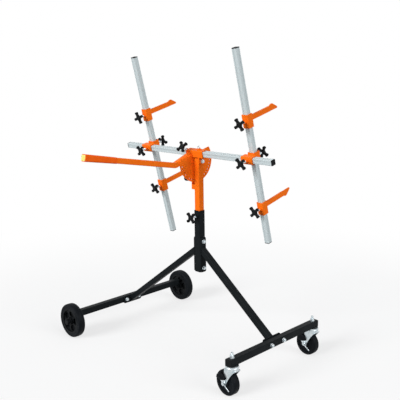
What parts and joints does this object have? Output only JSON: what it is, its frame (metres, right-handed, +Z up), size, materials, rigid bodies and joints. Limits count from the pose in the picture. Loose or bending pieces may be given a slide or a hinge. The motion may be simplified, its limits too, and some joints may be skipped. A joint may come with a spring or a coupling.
{
  "type": "body panel stand",
  "caption": "Wheeled stand that holds a vehicle body panel between clamped fingers on a frame that tilts and locks in steps, with casters, fixed wheels and a handle",
  "frame": {"origin": "on the floor under the axis of the mast", "axes": "+X along the legs and the rail towards the casters, +Y towards the panel, +Z up"},
  "size_m": [0.9976, 0.9154, 1.259],
  "materials": {
    "black_powder_coat": "satin black powder coat with a fine texture",
    "orange_powder_coat": "glossy orange powder coat",
    "zinc_plate": "bright zinc plating",
    "bare_aluminium": "anodised extrusion with fine lengthwise lines",
    "tyre_rubber": "matt moulded rubber",
    "caster_rubber": "smooth dark rubber",
    "black_plastic": "matt moulded plastic",
    "knob_plastic": "moulded black plastic with a soft shine",
    "orange_grip": "soft orange grip",
    "pale_plug": "pale yellow plastic"
  },
  "bodies": {
    "base": {"front_crossbar": "black_powder_coat", "rear_crossbar": "black_powder_coat", "front_leg": "black_powder_coat", "rear_leg": "black_powder_coat", "mast_tube": "black_powder_coat", "mast_bolts": "zinc_plate", "leg_bolts": "zinc_plate", "tube_plugs": "black_plastic", "rear_axle_bolts": "zinc_plate", "rear_axle_caps": "black_plastic", "caster_stems": "zinc_plate", "caster_stem_nuts": "zinc_plate"},
    "rear_left_wheel": {"rear_left_tyre": "tyre_rubber", "rear_left_hub": "black_plastic"},
    "rear_right_wheel": {"rear_right_tyre": "tyre_rubber", "rear_right_hub": "black_plastic"},
    "post": {"upper_post": "orange_powder_coat", "index_bracket": "orange_powder_coat", "plunger_body": "zinc_plate", "pivot_bolt": "zinc_plate", "index_spring": "zinc_plate"},
    "mast_clamp": {"mast_knob": "knob_plastic"},
    "index_plunger": {"index_pin": "zinc_plate", "index_pin_knob": "knob_plastic"},
    "head": {"tilt_head": "orange_powder_coat", "index_disc": "orange_powder_coat", "tilt_handle": "orange_powder_coat", "handle_grip": "orange_grip", "handle_plug": "pale_plug", "rail_set_screw": "zinc_plate"},
    "head_clamp": {"head_knob": "knob_plastic"},
    "rail": {"cross_rail": "bare_aluminium", "rail_plugs": "black_plastic"},
    "left_caster": {"left_caster_fork": "zinc_plate", "left_caster_axle": "zinc_plate"},
    "left_roller": {"left_caster_wheel": "caster_rubber"},
    "left_brake": {"left_caster_brake": "zinc_plate"},
    "right_caster": {"right_caster_fork": "zinc_plate", "right_caster_axle": "zinc_plate"},
    "right_roller": {"right_caster_wheel": "caster_rubber"},
    "right_brake": {"right_caster_brake": "zinc_plate"},
    "left_clamp": {"left_cross_clamp": "orange_powder_coat"},
    "left_rail_clamp": {"left_rail_knob": "knob_plastic"},
    "left_upright_clamp": {"left_upright_knob": "knob_plastic"},
    "left_upright_tube": {"left_upright": "bare_aluminium", "left_upright_caps": "black_plastic"},
    "upper_left_arm_slide": {"upper_left_arm": "orange_powder_coat"},
    "upper_left_arm_clamp": {"upper_left_arm_knob": "knob_plastic"},
    "lower_left_arm_slide": {"lower_left_arm": "orange_powder_coat"},
    "lower_left_arm_clamp": {"lower_left_arm_knob": "knob_plastic"},
    "right_clamp": {"right_cross_clamp": "orange_powder_coat"},
    "right_rail_clamp": {"right_rail_knob": "knob_plastic"},
    "right_upright_clamp": {"right_upright_knob": "knob_plastic"},
    "right_upright_tube": {"right_upright": "bare_aluminium", "right_upright_caps": "black_plastic"},
    "upper_right_arm_slide": {"upper_right_arm": "orange_powder_coat"},
    "upper_right_arm_clamp": {"upper_right_arm_knob": "knob_plastic"},
    "lower_right_arm_slide": {"lower_right_arm": "orange_powder_coat"},
    "lower_right_arm_clamp": {"lower_right_arm_knob": "knob_plastic"}
  },
  "joints": [
    {"name": "rear_left_wheel_spin", "type": "hinge", "parent": "base", "child": "rear_left_wheel", "pos_m": [-0.485, -0.332, 0.076], "axis": [0, 1, 0], "continuous": true},
    {"name": "rear_right_wheel_spin", "type": "hinge", "parent": "base", "child": "rear_right_wheel", "pos_m": [-0.485, 0.332, 0.076], "axis": [0, 1, 0], "continuous": true},
    {"name": "left_caster_swivel", "type": "hinge", "parent": "base", "child": "left_caster", "pos_m": [0.408, -0.244, 0.12], "axis": [0, 0, 1], "continuous": true},
    {"name": "left_caster_roll", "type": "hinge", "parent": "left_caster", "child": "left_roller", "pos_m": [0.38604, -0.24269, 0.05], "axis": [-0.0593, -0.9982, 0], "continuous": true},
    {"name": "left_brake_press", "type": "hinge", "parent": "left_caster", "child": "left_brake", "pos_m": [0.38604, -0.24269, 0.05], "axis": [-0.0593, -0.9982, 0], "range_deg": [0, 20]},
    {"name": "right_caster_swivel", "type": "hinge", "parent": "base", "child": "right_caster", "pos_m": [0.408, 0.244, 0.12], "axis": [0, 0, 1], "continuous": true},
    {"name": "right_caster_roll", "type": "hinge", "parent": "right_caster", "child": "right_roller", "pos_m": [0.38604, 0.2453, 0.05], "axis": [-0.0593, -0.9982, 0], "continuous": true},
    {"name": "right_brake_press", "type": "hinge", "parent": "right_caster", "child": "right_brake", "pos_m": [0.38604, 0.2453, 0.05], "axis": [-0.0593, -0.9982, 0], "range_deg": [0, 20]},
    {"name": "post_slide", "type": "slide", "parent": "base", "child": "post", "axis": [0, 0, 1], "range_m": [0, 0.07]},
    {"name": "mast_knob_turn", "type": "hinge", "parent": "base", "child": "mast_clamp", "pos_m": [0, -0.016, 0.575], "axis": [0, -1, 0], "range_deg": [0, 360]},
    {"name": "index_pin_slide", "type": "slide", "parent": "post", "child": "index_plunger", "axis": [1, 0, 0], "range_m": [0, 0.005], "deforming": ["index_spring"]},
    {"name": "head_tilt", "type": "hinge", "parent": "post", "child": "head", "pos_m": [0, 0, 0.808], "axis": [1, 0, 0], "range_deg": [-104.5, 66.5]},
    {"name": "head_knob_turn", "type": "hinge", "parent": "head", "child": "head_clamp", "pos_m": [-0.04, -0.02541, 0.85068], "axis": [0, -0.8594, 0.5113], "range_deg": [0, 360]},
    {"name": "rail_slide", "type": "slide", "parent": "head", "child": "rail", "axis": [1, 0, 0], "range_m": [-0.07, 0.07]},
    {"name": "left_clamp_slide", "type": "slide", "parent": "rail", "child": "left_clamp", "axis": [1, 0, 0], "range_m": [-0.1, 0.11]},
    {"name": "left_rail_knob_turn", "type": "hinge", "parent": "left_clamp", "child": "left_rail_clamp", "pos_m": [-0.303, -0.02278, 0.83678], "axis": [0, -0.9692, -0.2462], "range_deg": [0, 360]},
    {"name": "left_upright_knob_turn", "type": "hinge", "parent": "left_clamp", "child": "left_upright_clamp", "pos_m": [-0.303, 0.03925, 0.85253], "axis": [0, 0.9692, 0.2462], "range_deg": [0, 360]},
    {"name": "left_upright_slide", "type": "slide", "parent": "left_clamp", "child": "left_upright_tube", "axis": [0, -0.2462, 0.9692], "range_m": [-0.04, 0.04]},
    {"name": "upper_left_arm_move", "type": "slide", "parent": "left_upright_tube", "child": "upper_left_arm_slide", "axis": [0, -0.2462, 0.9692], "range_m": [-0.045, 0.22]},
    {"name": "upper_left_knob_turn", "type": "hinge", "parent": "upper_left_arm_slide", "child": "upper_left_arm_clamp", "pos_m": [-0.303, -0.0289, 0.9807], "axis": [0, -0.9692, -0.2462], "range_deg": [0, 360]},
    {"name": "lower_left_arm_move", "type": "slide", "parent": "left_upright_tube", "child": "lower_left_arm_slide", "axis": [0, -0.2462, 0.9692], "range_m": [-0.195, 0.095]},
    {"name": "lower_left_knob_turn", "type": "hinge", "parent": "lower_left_arm_slide", "child": "lower_left_arm_clamp", "pos_m": [-0.303, 0.05258, 0.65989], "axis": [0, -0.9692, -0.2462], "range_deg": [0, 360]},
    {"name": "right_clamp_slide", "type": "slide", "parent": "rail", "child": "right_clamp", "axis": [1, 0, 0], "range_m": [-0.11, 0.085]},
    {"name": "right_rail_knob_turn", "type": "hinge", "parent": "right_clamp", "child": "right_rail_clamp", "pos_m": [0.281, -0.02278, 0.83678], "axis": [0, -0.9692, -0.2462], "range_deg": [0, 360]},
    {"name": "right_upright_knob_turn", "type": "hinge", "parent": "right_clamp", "child": "right_upright_clamp", "pos_m": [0.281, 0.03925, 0.85253], "axis": [0, 0.9692, 0.2462], "range_deg": [0, 360]},
    {"name": "right_upright_slide", "type": "slide", "parent": "right_clamp", "child": "right_upright_tube", "axis": [0, -0.2462, 0.9692], "range_m": [-0.04, 0.04]},
    {"name": "upper_right_arm_move", "type": "slide", "parent": "right_upright_tube", "child": "upper_right_arm_slide", "axis": [0, -0.2462, 0.9692], "range_m": [-0.045, 0.245]},
    {"name": "upper_right_knob_turn", "type": "hinge", "parent": "upper_right_arm_slide", "child": "upper_right_arm_clamp", "pos_m": [0.281, -0.02988, 0.98458], "axis": [0, -0.9692, -0.2462], "range_deg": [0, 360]},
    {"name": "lower_right_arm_move", "type": "slide", "parent": "right_upright_tube", "child": "lower_right_arm_slide", "axis": [0, -0.2462, 0.9692], "range_m": [-0.125, 0.115]},
    {"name": "lower_right_knob_turn", "type": "hinge", "parent": "lower_right_arm_slide", "child": "lower_right_arm_clamp", "pos_m": [0.281, 0.05849, 0.63662], "axis": [0, -0.9692, -0.2462], "range_deg": [0, 360]}
  ]
}
